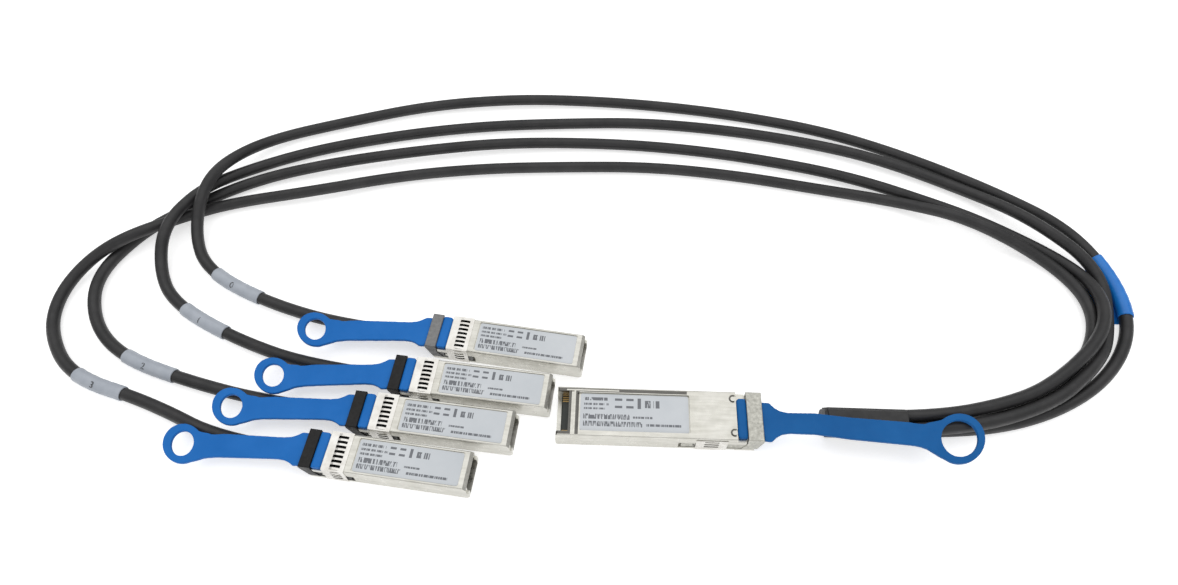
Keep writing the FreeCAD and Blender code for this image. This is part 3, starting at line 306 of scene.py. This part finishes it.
def plug_place(finish, plug):
    """Plug coordinates in millimetres, worked out from the object coordinates."""
    nose_x, nose_y, turn = PLUGS[plug]
    back = Matrix.Rotation(math.radians(-turn), 3, "Z")
    nose = Vector((nose_x, nose_y, 0)) + SHIFT / MM
    moved = finish.add("Mapping")
    moved.inputs["Scale"].default_value = (1 / MM, 1 / MM, 1 / MM)
    moved.inputs["Rotation"].default_value = (0, 0, math.radians(-turn))
    moved.inputs["Location"].default_value = -(back @ nose)
    finish.join(finish.place, moved.inputs["Vector"])
    return moved.outputs[0]


def box_mask(f, u, v, u0, u1, v0, v1):
    """1 inside a rectangle of the printed face, 0 outside."""
    inside = None
    for value, low, high in ((u, u0, u1), (v, v0, v1)):
        part = f.math(
            "MULTIPLY", f.math("GREATER_THAN", value, low), f.math("LESS_THAN", value, high))
        inside = part if inside is None else f.math("MULTIPLY", inside, part)
    return inside


def jacket_finish():
    f = Finish("cable_jacket", (0.03, 0.03, 0.032), 0.5)
    f.color(f.ramp(f.noise(90), (0.35, (0.014, 0.014, 0.015)), (0.7, (0.027, 0.026, 0.027))))
    f.rough(f.ranged(f.noise(300), 0.3, 0.7, 0.40, 0.56))
    f.bump((f.noise(2600, 2), 0.00003))
    return f


# Painted shade and dark reflection on the rim and nose step of the large plug, and the bright edges in
# it, which are left unpainted: (x, x, y, y) in mm.
QSFP_RIM = 8.2
NOSE_SHADE = [(0.4, 7.9, -8.7, 8.7), (0.4, 46.0, 7.45, 8.7)]
NOSE_RODS = [(5.2, 6.7, -8.7, 8.3), (3.4, 22.0, 7.8, 8.3)]
# Painted shade for two small lanced arcs beside the slider's crossbar, each cut off just behind its
# middle.
LANCE_BACK, LANCE_ACROSS, LANCE_RADIUS, LANCE_WIDTH = 62.2, 6.4, 1.15, 0.6
LANCE_CUT = 0.5
# Painted shade for the pocket under the slots of a small plug: (x, x, y, y) in mm, and the height that
# it starts at.
SLOT_POCKET = (43.8, 48.0, -6.2, 6.2)
SLOT_POCKET_FROM = 7.0


def nickel_finish(plug):
    """Satin nickel over a die casting: soft cloudy patches, faint handling marks, and painted shade and
    dark reflection in its slot pocket, on its rim and nose step and in its lanced arcs.
    """
    f = Finish("nickel_" + plug, (0.66, 0.64, 0.60), 0.33, 1.0)
    turn = PLUGS[plug][2]
    cloud = f.noise(130, 3)
    streak = f.noise(900, 3, place=f.stretched(0.12, 1, 1, -turn))
    base = f.ramp(cloud, (0.3, (0.54, 0.53, 0.475)), (0.7, (0.66, 0.65, 0.60)))
    brushed = f.ramp(streak, (0.3, (0.36, 0.35, 0.32)), (0.7, (0.70, 0.69, 0.65)))
    metal = f.mixed(0.3, base, brushed)
    mm = f.add("SeparateXYZ")
    f.join(plug_place(f, plug), mm.inputs[0])
    if plug != "qsfp":
        # Painted shade: the pocket under the slots is darkened in the colour.
        pocket = box_mask(f, mm.outputs[0], mm.outputs[1], *SLOT_POCKET)
        pocket_shade = f.math("MULTIPLY", pocket, f.math("GREATER_THAN", mm.outputs[2], SLOT_POCKET_FROM))
        metal = f.mixed(pocket_shade, metal, (0.012, 0.012, 0.012))
    else:
        # Painted shade and dark reflection: above QSFP_RIM the rim, nose step and lanced arcs are
        # darkened in the colour, and the rods are left clear.
        shade, rods = (
            f.math("MAXIMUM", box_mask(f, mm.outputs[0], mm.outputs[1], *first),
                   box_mask(f, mm.outputs[0], mm.outputs[1], *second))
            for first, second in (NOSE_SHADE, NOSE_RODS))
        # Painted shade in the two lanced arcs.
        for across in (-LANCE_ACROSS, LANCE_ACROSS):
            u = f.math("SUBTRACT", mm.outputs[0], LANCE_BACK)
            v = f.math("SUBTRACT", mm.outputs[1], across)
            reach = f.math("SQRT", f.math("ADD", f.math("MULTIPLY", u, u), f.math("MULTIPLY", v, v)))
            arc = f.math("COMPARE", reach, LANCE_RADIUS, LANCE_WIDTH / 2)
            shade = f.math("MAXIMUM", shade, f.math("MULTIPLY", arc, f.math("LESS_THAN", u, LANCE_CUT)))
        shade = f.math("MULTIPLY", shade, f.math("GREATER_THAN", mm.outputs[2], QSFP_RIM))
        shade = f.math("MULTIPLY", shade, f.math("SUBTRACT", 1.0, rods))
        metal = f.mixed(f.math("MULTIPLY", shade, 0.85), metal, (0.05, 0.048, 0.045))
    f.color(metal)
    f.rough(f.ranged(f.noise(420, 3), 0.3, 0.7, 0.24, 0.40))
    f.bump((streak, 0.000012), (f.noise(3200, 2), 0.000014))
    return f


def spring_finish():
    f = Finish("spring_steel", (0.66, 0.65, 0.62), 0.28, 1.0)
    f.color(f.ramp(f.noise(300), (0.3, (0.58, 0.56, 0.52)), (0.7, (0.74, 0.73, 0.70))))
    f.rough(f.ranged(f.noise(700), 0.3, 0.7, 0.2, 0.34))
    f.bump((f.noise(2600, 2), 0.00001))
    return f


def slider_finish(name, dark, light, roughness, metallic, grain, specular=0.5):
    f = Finish(name, light, roughness, metallic, Specular_IOR_Level=specular)
    f.color(f.ramp(f.noise(900, 4, 0.7), (0.32, dark), (0.68, light)))
    f.rough(f.ranged(f.noise(500), 0.3, 0.7, roughness - 0.07, roughness + 0.09))
    f.bump((f.noise(2200, 3, 0.7), grain))
    return f


def tab_finish(name, dark, light):
    """Moulded elastomer: satin, with a fine matt grain and a few paler rubbed patches."""
    f = Finish(name, light, 0.45, Specular_IOR_Level=0.16)
    f.color(f.ramp(f.noise(60, 3), (0.3, dark), (0.7, light)))
    f.rough(f.ranged(f.noise(500), 0.3, 0.7, 0.36, 0.50))
    f.bump((f.noise(3000, 2), 0.00002))
    return f


def marker_finish():
    f = Finish("marker_grey", (0.55, 0.58, 0.63), 0.5)
    f.color(f.ramp(f.noise(200), (0.3, (0.39, 0.425, 0.48)), (0.7, (0.47, 0.505, 0.56))))
    f.rough(f.ranged(f.noise(600), 0.3, 0.7, 0.42, 0.56))
    f.bump((f.noise(1500, 2), 0.00003))
    return f


def film_finish(name, dark, light, roughness):
    f = Finish(name, light, roughness)
    f.color(f.ramp(f.noise(150), (0.3, dark), (0.7, light)))
    f.rough(f.ranged(f.noise(420), 0.3, 0.7, roughness - 0.08, roughness + 0.08))
    f.bump((f.noise(900, 2), 0.00004))
    return f


def shrink_finish(name, base):
    f = Finish(name, base, 0.55)
    lighter = tuple(c * 1.5 for c in base)
    f.color(f.ramp(f.noise(120), (0.3, base), (0.7, lighter)))
    f.rough(f.ranged(f.noise(350), 0.3, 0.7, 0.45, 0.62))
    f.bump((f.noise(500, 4), 0.00012))
    return f


def label_finish(plug, reading_left, reading_sign, half_width):
    """Pale polyester label with anonymous print: strokes, bars and plain blocks."""
    f = Finish("label_" + plug, (0.80, 0.83, 0.88), 0.38)
    mm = f.add("SeparateXYZ")
    f.join(plug_place(f, plug), mm.inputs[0])
    u = f.math("MULTIPLY", f.math("SUBTRACT", mm.outputs[0], reading_left), reading_sign)
    v = f.math("ADD", f.math("MULTIPLY", mm.outputs[1], reading_sign), half_width)
    paper = f.ramp(f.noise(80, 3), (0.3, (0.60, 0.635, 0.67)), (0.7, (0.67, 0.70, 0.73)))
    dash = f.math("GREATER_THAN", f.noise(1.0, 1, place=f.bars(u, v, 2.4, 0.02)), 0.44)
    heavy = f.math("GREATER_THAN", f.noise(1.0, 1, place=f.bars(u, v, 1.7, 0.3)), 0.40)
    bar = f.math("GREATER_THAN", f.noise(1.0, 0, place=f.bars(u, v, 2.6, 0.35)), 0.47)
    ink = None
    for (u0, u1, v0, v1), pattern in PRINT[plug[0]]:
        field = box_mask(f, u, v, u0, u1, v0, v1)
        field = f.math("MULTIPLY", field, {
            "dash": dash, "bar": bar, "heavy": heavy, "solid": 1.0}[pattern])
        ink = field if ink is None else f.math("MAXIMUM", ink, field)
    f.color(f.mixed(f.math("MULTIPLY", ink, 0.82), paper, (0.06, 0.065, 0.08)))
    f.rough(f.ranged(f.noise(300), 0.3, 0.7, 0.32, 0.44))
    f.bump((f.noise(700, 2), 0.00002))
    return f


# Print of a label, in mm from its lower left corner as it is read: strokes, bars and plain blocks.
PRINT = {
    "s": [
        ((1.0, 9.4, 9.3, 10.3), "dash"), ((1.0, 10.4, 7.7, 8.5), "dash"),
        ((1.0, 9.0, 6.1, 6.9), "dash"), ((1.0, 14.6, 3.4, 5.2), "bar"),
        ((1.0, 16.4, 1.2, 2.9), "bar"), ((17.2, 22.8, 3.6, 4.3), "dash"),
        ((18.4, 32.6, 1.4, 2.3), "dash"), ((10.9, 13.0, 9.5, 10.3), "solid"),
        ((10.9, 13.0, 7.4, 8.2), "solid"), ((14.3, 16.4, 9.5, 10.3), "solid"),
        ((14.3, 16.4, 7.4, 8.2), "solid"), ((17.9, 18.9, 7.3, 10.5), "solid"),
        ((20.4, 22.0, 7.6, 9.8), "heavy"), ((22.9, 24.9, 7.6, 9.8), "dash"),
    ],
    "q": [
        ((1.2, 9.6, 11.4, 12.6), "heavy"), ((1.2, 10.0, 9.6, 10.4), "dash"),
        ((1.2, 8.8, 8.0, 8.7), "dash"), ((1.2, 17.4, 4.4, 6.3), "bar"),
        ((1.2, 21.8, 1.7, 3.6), "bar"), ((18.6, 25.4, 4.9, 5.7), "dash"),
        ((23.2, 35.4, 2.1, 3.0), "dash"), ((12.2, 14.8, 11.5, 12.4), "solid"),
        ((12.2, 14.8, 8.7, 9.6), "solid"), ((16.2, 18.8, 11.5, 12.4), "solid"),
        ((16.2, 18.8, 8.7, 9.6), "solid"),
        ((20.2, 21.4, 8.6, 12.6), "solid"), ((22.8, 24.8, 9.0, 11.8), "heavy"),
        ((25.8, 28.2, 9.0, 11.8), "dash"),
    ],
}
# A label's edge where reading starts, back from the nose, and half its width, in mm.
SFP_LABEL = {"reading_left": 40.1, "reading_sign": -1, "half_width": 5.775}
QSFP_LABEL = {"reading_left": 8.35, "reading_sign": 1, "half_width": 6.975}
# A card's front edge back from the nose and half its width, in mm, and its number of pads.
SFP_CARD = {"edge": 1.9, "half_width": 4.6, "pads": 10}
QSFP_CARD = {"edge": 1.6, "half_width": 7.5, "pads": 19}


def card_finish(plug, edge, half_width, pads):
    """Green laminate with a row of gilt contact pads along the nose edge."""
    f = Finish("card_" + plug, (0.05, 0.16, 0.09), 0.35)
    mm = f.add("SeparateXYZ")
    f.join(plug_place(f, plug), mm.inputs[0])
    pitch = 2 * half_width / pads
    phase = f.math("PINGPONG", f.math("ADD", mm.outputs[1], half_width), pitch / 2)
    outer = f.math("GREATER_THAN", f.math("ABSOLUTE", mm.outputs[1]), half_width * 0.72)
    field = box_mask(
        f, mm.outputs[0], mm.outputs[1], edge + 0.3, edge + 3.2, -half_width, half_width)
    pad = f.math("MULTIPLY", f.math("GREATER_THAN", phase, pitch * 0.19), field)
    pad = f.math("MULTIPLY", pad, outer)
    laminate = f.ramp(f.noise(400), (0.3, (0.008, 0.012, 0.009)), (0.7, (0.018, 0.024, 0.018)))
    f.color(f.mixed(pad, laminate, (0.50, 0.33, 0.13)))
    f.join(pad, f.shader.inputs["Metallic"])
    f.bump((pad, 0.00004))
    return f


FLOOR_GLOW = 0.55


def floor_finish():
    """Pale studio floor: lifted to white for the eye, so that only the contact shadow stays."""
    f = Finish("studio_floor", (0.93, 0.93, 0.93), 0.7)
    f.color(f.ramp(f.noise(8, 2), (0.3, (0.92, 0.92, 0.92)), (0.7, (0.94, 0.94, 0.94))))
    seen = f.add("LightPath")
    glow = f.math("MAXIMUM", seen.outputs["Is Camera Ray"], seen.outputs["Is Glossy Ray"])
    f.shader.inputs["Emission Color"].default_value = (1, 1, 1, 1)
    f.join(f.math("MULTIPLY", glow, FLOOR_GLOW), f.shader.inputs["Emission Strength"])
    return f


FINISHES = {
    "cable_jacket": jacket_finish(),
    "spring_steel": spring_finish(),
    "grey_slider": slider_finish(
        "grey_slider", (0.17, 0.17, 0.17), (0.24, 0.24, 0.24),
        roughness=0.46, metallic=0.25, grain=0.00002),
    "black_slider": slider_finish(
        "black_slider", (0.006, 0.0055, 0.0055), (0.014, 0.0135, 0.0135),
        roughness=0.42, metallic=0.0, grain=0.00001, specular=0.25),
    "satin_nickel": slider_finish(
        "satin_nickel", (0.34, 0.335, 0.30), (0.58, 0.575, 0.52),
        roughness=0.4, metallic=0.85, grain=0.00005),
    "blue_rubber": tab_finish("blue_rubber", (0.007, 0.145, 0.50), (0.016, 0.175, 0.57)),
    "dark_blue_rubber": tab_finish("dark_blue_rubber", (0.004, 0.105, 0.34), (0.009, 0.135, 0.41)),
    "lever_metal": spring_finish(),
    "marker_grey": marker_finish(),
    "print_black": film_finish("print_black", (0.02, 0.02, 0.022), (0.045, 0.045, 0.048), 0.5),
    "flag_blue": film_finish("flag_blue", (0.006, 0.18, 0.62), (0.012, 0.22, 0.70), 0.35),
    "boot_black": shrink_finish("boot_black", (0.014, 0.014, 0.0145)),
    "shrink_black": shrink_finish("shrink_black", (0.019, 0.0185, 0.019)),
}

for name, thing in frame["nodes"].items():
    plug = name.split("_")[0]
    slot_name = next(s["material_slot"] for s in frame["record"]["subparts"] if s["node"] == name)
    if slot_name == "nickel_shell":
        key = "nickel_" + plug
        if key not in FINISHES:
            FINISHES[key] = nickel_finish(plug)
    elif slot_name == "label_paper":
        key = name
        if plug == "qsfp":
            FINISHES[key] = label_finish(plug, **QSFP_LABEL)
        else:
            FINISHES[key] = label_finish(plug, **SFP_LABEL)
    elif slot_name == "circuit_board":
        key = name
        FINISHES[key] = card_finish(plug, **(QSFP_CARD if plug == "qsfp" else SFP_CARD))
    else:
        key = slot_name
    thing.data.materials.clear()
    thing.data.materials.append(FINISHES[key].material)

# ---------------------------------------------------------------- modelled pieces


def pick(piece):
    """Make one object the only selected and active one."""
    bpy.ops.object.select_all(action="DESELECT")
    piece.select_set(True)
    bpy.context.view_layer.objects.active = piece


def finished(piece, kind, **settings):
    """Add a modifier and apply it."""
    pick(piece)
    made = piece.modifiers.new(kind.lower(), kind)
    for key, value in settings.items():
        setattr(made, key, value)
    bpy.ops.object.modifier_apply(modifier=made.name)


def merged_copy(node, name):
    """A CAD node's shape as an object of its own, with its loose triangles joined."""
    piece = bpy.data.objects.new(name, frame["nodes"][node].data.copy())
    bpy.context.scene.collection.objects.link(piece)
    piece.data.materials.clear()
    pick(piece)
    bpy.ops.object.mode_set(mode="EDIT")
    bpy.ops.mesh.select_all(action="SELECT")
    bpy.ops.mesh.remove_doubles(threshold=1e-6)
    bpy.ops.object.mode_set(mode="OBJECT")
    return piece


def moulded(node, name, grain, passes, keep):
    """A soft moulding: the CAD outline with every edge and corner flowing into the next."""
    piece = merged_copy(node, name)
    finished(piece, "REMESH", mode="VOXEL", voxel_size=grain)
    finished(piece, "SMOOTH", factor=0.5, iterations=passes)
    finished(piece, "DECIMATE", ratio=keep)
    pick(piece)
    bpy.ops.object.shade_smooth()
    return piece


def slanted_oval(hole, oval, slant):
    """The map that makes an upright oval hole into another one, its long axis at a slant.

    Half axes are in mm and the slant is in degrees. The map is rounded to a thousandth.
    """
    turn = Matrix.Rotation(math.radians(slant), 2)
    wanted = turn @ Matrix(((oval[0], 0), (0, oval[1]))) @ turn.transposed()
    shape = wanted @ Matrix(((1 / hole[0], 0), (0, 1 / hole[1])))
    return tuple(tuple(round(value, 3) for value in row) for row in shape)


def turned_ring(piece, plug, centre, shape, fade_start, fade_end):
    """Set a finger ring's oval at a slant, in plug coordinates, fading out along the strap."""
    nose_x, nose_y, turn = PLUGS[plug]
    nose = Vector((nose_x, nose_y, 0)) * MM + SHIFT
    to_table = Matrix.Rotation(math.radians(turn), 3, "Z")
    to_plug = to_table.transposed()
    (xx, xy), (yx, yy) = shape
    for vertex in piece.data.vertices:
        x, y, z = to_plug @ (vertex.co - nose) / MM
        share = min(1.0, max(0.0, (x - fade_start) / (fade_end - fade_start)))
        share *= share * (3 - 2 * share)
        u, v = x - centre[0], y - centre[1]
        x += share * (xx * u + xy * v - u)
        y += share * (yx * u + yy * v - v)
        vertex.co = to_table @ (Vector((x, y, z)) * MM) + nose


def belongs(piece, body, node, slot_name):
    """Parent a piece to the body that carries it, hide the CAD node that it stands for and give it its
    finish.
    """
    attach(piece, body)
    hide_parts(node)
    piece.data.materials.append(FINISHES[slot_name].material)


def squeezed_spring(node):
    """A return spring held by its post at the back and pressed by the slider's window."""
    spring = merged_copy(node, node.replace("return", "squeezed"))
    belongs(spring, "cable_set", node, "spring_steel")
    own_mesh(spring)


def span_of(node, path):
    """How far along a cable's centreline a CAD sleeve begins and ends."""
    points, along = path
    reach = []
    for vertex in frame["nodes"][node].data.vertices:
        near = min(range(1, len(points) - 1), key=lambda i: (points[i] - vertex.co).length_squared)
        way = (points[near + 1] - points[near - 1]).normalized()
        reach.append(along[near] + (vertex.co - points[near]).dot(way))
    return min(reach), max(reach)


def round_frame(way, toward):
    """Two directions square to the cable, the first one as near as can be to a given one."""
    first = (toward - way * toward.dot(way)).normalized()
    return first, way.cross(first)


def sleeve_on(path, start, end, inside, wall, name, sides=40):
    """A thin sleeve on a cable, with softly rolled ends and a slightly uneven wall."""
    points, along = path
    stations = [start, start + 0.1 * MM, start + 0.35 * MM]
    count = max(4, int((end - start) / (1.0 * MM)))
    stations += [start + (end - start) * k / count for k in range(1, count)]
    stations += [end - 0.35 * MM, end - 0.1 * MM, end]
    outer = [0.45, 0.86, 1.0] + [1.0 + 0.1 * math.sin(k * 1.7) for k in range(1, count)]
    outer += [1.0, 0.86, 0.45]
    mesh = bmesh.new()
    rings = []
    layers = [(s, inside + wall * share) for s, share in zip(stations, outer)]
    layers += [(s, inside) for s in reversed(stations)]
    for s, radius in layers:
        place, way = at_distance(points, along, s)
        up, side = round_frame(way, Vector((0, 0, 1)))
        rings.append([
            mesh.verts.new(place + radius * (
                math.cos(2 * math.pi * k / sides) * up + math.sin(2 * math.pi * k / sides) * side))
            for k in range(sides)])
    for a, b in zip(rings, rings[1:] + rings[:1]):
        for k in range(sides):
            mesh.faces.new((a[k], a[(k + 1) % sides], b[(k + 1) % sides], b[k]))
    bmesh.ops.recalc_face_normals(mesh, faces=mesh.faces)
    made = bpy.data.meshes.new(name)
    mesh.to_mesh(made)
    mesh.free()
    piece = bpy.data.objects.new(name, made)
    bpy.context.scene.collection.objects.link(piece)
    pick(piece)
    bpy.ops.object.shade_smooth()
    return piece


# The figures beside the one that faces the camera: radians round the sleeve, and how far along it.
FIGURE_TURN = 2.1
FIGURE_STEP = 2.6 * MM


def printed_number(number, path, middle, radius, name):
    """A small figure printed three times round a marker sleeve."""
    points, along = path
    bpy.ops.object.select_all(action="DESELECT")
    bpy.ops.object.text_add()
    text = bpy.context.object
    text.name = name
    text.data.body = str(number)
    text.data.align_x = "CENTER"
    text.data.align_y = "CENTER"
    text.data.size = 3.4 * MM
    text.data.extrude = 0.015 * MM
    text.data.offset = 0.03 * MM
    bpy.ops.object.convert(target="MESH")
    bpy.ops.object.mode_set(mode="EDIT")
    bpy.ops.mesh.select_all(action="SELECT")
    bpy.ops.mesh.remove_doubles(threshold=1e-6)
    bpy.ops.mesh.subdivide(number_cuts=2)
    bpy.ops.object.mode_set(mode="OBJECT")
    view = Vector((0, -math.cos(ELEVATION), math.sin(ELEVATION)))
    whole = bmesh.new()
    for turn, ahead in ((0.0, 0.0), (FIGURE_TURN, FIGURE_STEP), (-FIGURE_TURN, -FIGURE_STEP)):
        copy = text.data.copy()
        for vertex in copy.vertices:
            u, v, w = vertex.co
            place, way = at_distance(points, along, middle + ahead - u)
            up, side = round_frame(way, view)
            angle = turn + v / radius
            out = math.cos(angle) * up + math.sin(angle) * side
            vertex.co = place + out * (radius + w)
        whole.from_mesh(copy)
        bpy.data.meshes.remove(copy)
    bmesh.ops.recalc_face_normals(whole, faces=whole.faces)
    whole.to_mesh(text.data)
    whole.free()
    return text


# Middles of the finger rings' holes, their ovals, and where on the strap the slant begins and is full.
SFP_RINGS = [(101.6, 5.5), (101.6, 6.2), (101.6, 4.1), (101.6, 4.0)]
SFP_OVAL = slanted_oval(hole=(3.9, 4.85), oval=(4.75, 3.75), slant=-55)
SFP_FADE = (87.3, 99.6)
QSFP_RING = (138.0, -6.9)
QSFP_OVAL = slanted_oval(hole=(6.2, 6.75), oval=(7.2, 5.7), slant=50)
QSFP_FADE = (120.4, 136.0)
# Size of the remeshed grain of each soft moulding.
SFP_TAB_GRAIN = 0.2 * MM
QSFP_TAB_GRAIN = 0.22 * MM
BOOT_GRAIN = 0.3 * MM
SLEEVE_GRAIN = 0.16 * MM

for number in range(4):
    plug = "sfp%d" % number
    tab = moulded(plug + "_pull_tab", plug + "_soft_pull_tab", SFP_TAB_GRAIN, passes=9, keep=0.4)
    turned_ring(tab, plug, SFP_RINGS[number], SFP_OVAL, *SFP_FADE)
    belongs(tab, plug + "_slider", plug + "_pull_tab", "blue_rubber")
tab = moulded("qsfp_pull_tab", "qsfp_soft_pull_tab", QSFP_TAB_GRAIN, passes=10, keep=0.4)
turned_ring(tab, "qsfp", QSFP_RING, QSFP_OVAL, *QSFP_FADE)
belongs(tab, "qsfp_slider", "qsfp_pull_tab", "dark_blue_rubber")
for number in range(4):
    squeezed_spring("sfp%d_return_spring" % number)
for side in ("left", "right"):
    squeezed_spring("qsfp_return_spring_" + side)
boot = moulded("bundle_boot", "moulded_boot", BOOT_GRAIN, passes=14, keep=0.5)
belongs(boot, "cable_set", "bundle_boot", "boot_black")
shrink = moulded("bundle_sleeve", "shrunk_sleeve", SLEEVE_GRAIN, passes=4, keep=0.3)
belongs(shrink, "cable_set", "bundle_sleeve", "shrink_black")

SLEEVE_INSIDE = CABLE / 2 + 0.02 * MM
SLEEVE_WALL = 0.32 * MM + 0.08 * MM
FIGURE_RADIUS = CABLE / 2 + 0.435 * MM  # a hair above the sleeve's mean surface
FIGURE_SPOT = 0.54  # share of the sleeve's length
on_cable = [[] for number in range(4)]
for number in range(4):
    node = "cable_marker_%d" % number
    start, end = span_of(node, paths[number])
    marker = sleeve_on(
        paths[number], start, end, SLEEVE_INSIDE, SLEEVE_WALL, "number_marker_%d" % number)
    belongs(marker, "cable_set", node, "marker_grey")
    figure = printed_number(
        number, paths[number], start + (end - start) * FIGURE_SPOT, FIGURE_RADIUS,
        "marker_figure_%d" % number)
    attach(figure, "cable_set")
    figure.data.materials.append(FINISHES["print_black"].material)
    on_cable[number] += [marker, figure]
start, end = span_of("flag_label_wrap", paths[0])
wrap = sleeve_on(paths[0], start, end, SLEEVE_INSIDE, SLEEVE_WALL, "flag_wrap")
belongs(wrap, "cable_set", "flag_label_wrap", "flag_blue")
flag = merged_copy("flag_label_flag", "flag_film")
finished(flag, "BEVEL", width=0.06 * MM, segments=2, limit_method="ANGLE")
pick(flag)
bpy.ops.object.shade_smooth_by_angle(angle=math.radians(40))
belongs(flag, "cable_set", "flag_label_flag", "flag_blue")
on_cable[0] += [wrap, flag]

for number, (cable, cable_exit) in enumerate(cables):
    cable.data.materials.append(FINISHES["cable_jacket"].material)

# ---------------------------------------------------------------- studio
bpy.ops.object.select_all(action="DESELECT")
bpy.ops.mesh.primitive_plane_add(size=6, location=(0, 0, 0))
floor = bpy.context.object
floor.name = "studio_floor"
floor.data.materials.append(floor_finish().material)


def lamp(name, size_x, size_y, power, place, target):
    data = bpy.data.lights.new(name, "AREA")
    data.shape = "RECTANGLE"
    data.size, data.size_y = size_x, size_y
    data.energy = power
    light = bpy.data.objects.new(name, data)
    bpy.context.scene.collection.objects.link(light)
    light.location = place
    aim = Vector(target) - Vector(place)
    light.rotation_euler = aim.to_track_quat("-Z", "Y").to_euler()
    return light


lamp("overhead", 2.2, 1.4, 8.0, (0.0, 0.45, 1.2), (0, 0.03, 0))
lamp("front_fill", 1.8, 0.8, 3.0, (0.1, -1.2, 0.8), (0, 0.03, 0))

WORLD_LIGHT = 0.55
WORLD_SEEN = 1.0
world = bpy.data.worlds.new("studio")
bpy.context.scene.world = world
world.use_nodes = True
sky = world.node_tree.nodes["Background"]
ray = world.node_tree.nodes.new("ShaderNodeLightPath")
seen = world.node_tree.nodes.new("ShaderNodeMath")
seen.operation = "MAXIMUM"
strength = world.node_tree.nodes.new("ShaderNodeMapRange")
strength.inputs[3].default_value = WORLD_LIGHT
strength.inputs[4].default_value = WORLD_SEEN
world.node_tree.links.new(ray.outputs["Is Camera Ray"], seen.inputs[0])
world.node_tree.links.new(ray.outputs["Is Transmission Ray"], seen.inputs[1])
world.node_tree.links.new(seen.outputs[0], strength.inputs[0])
world.node_tree.links.new(strength.outputs[0], sky.inputs["Strength"])
sky.inputs["Color"].default_value = (1, 1, 1, 1)

bpy.context.scene.view_settings.view_transform = "Standard"
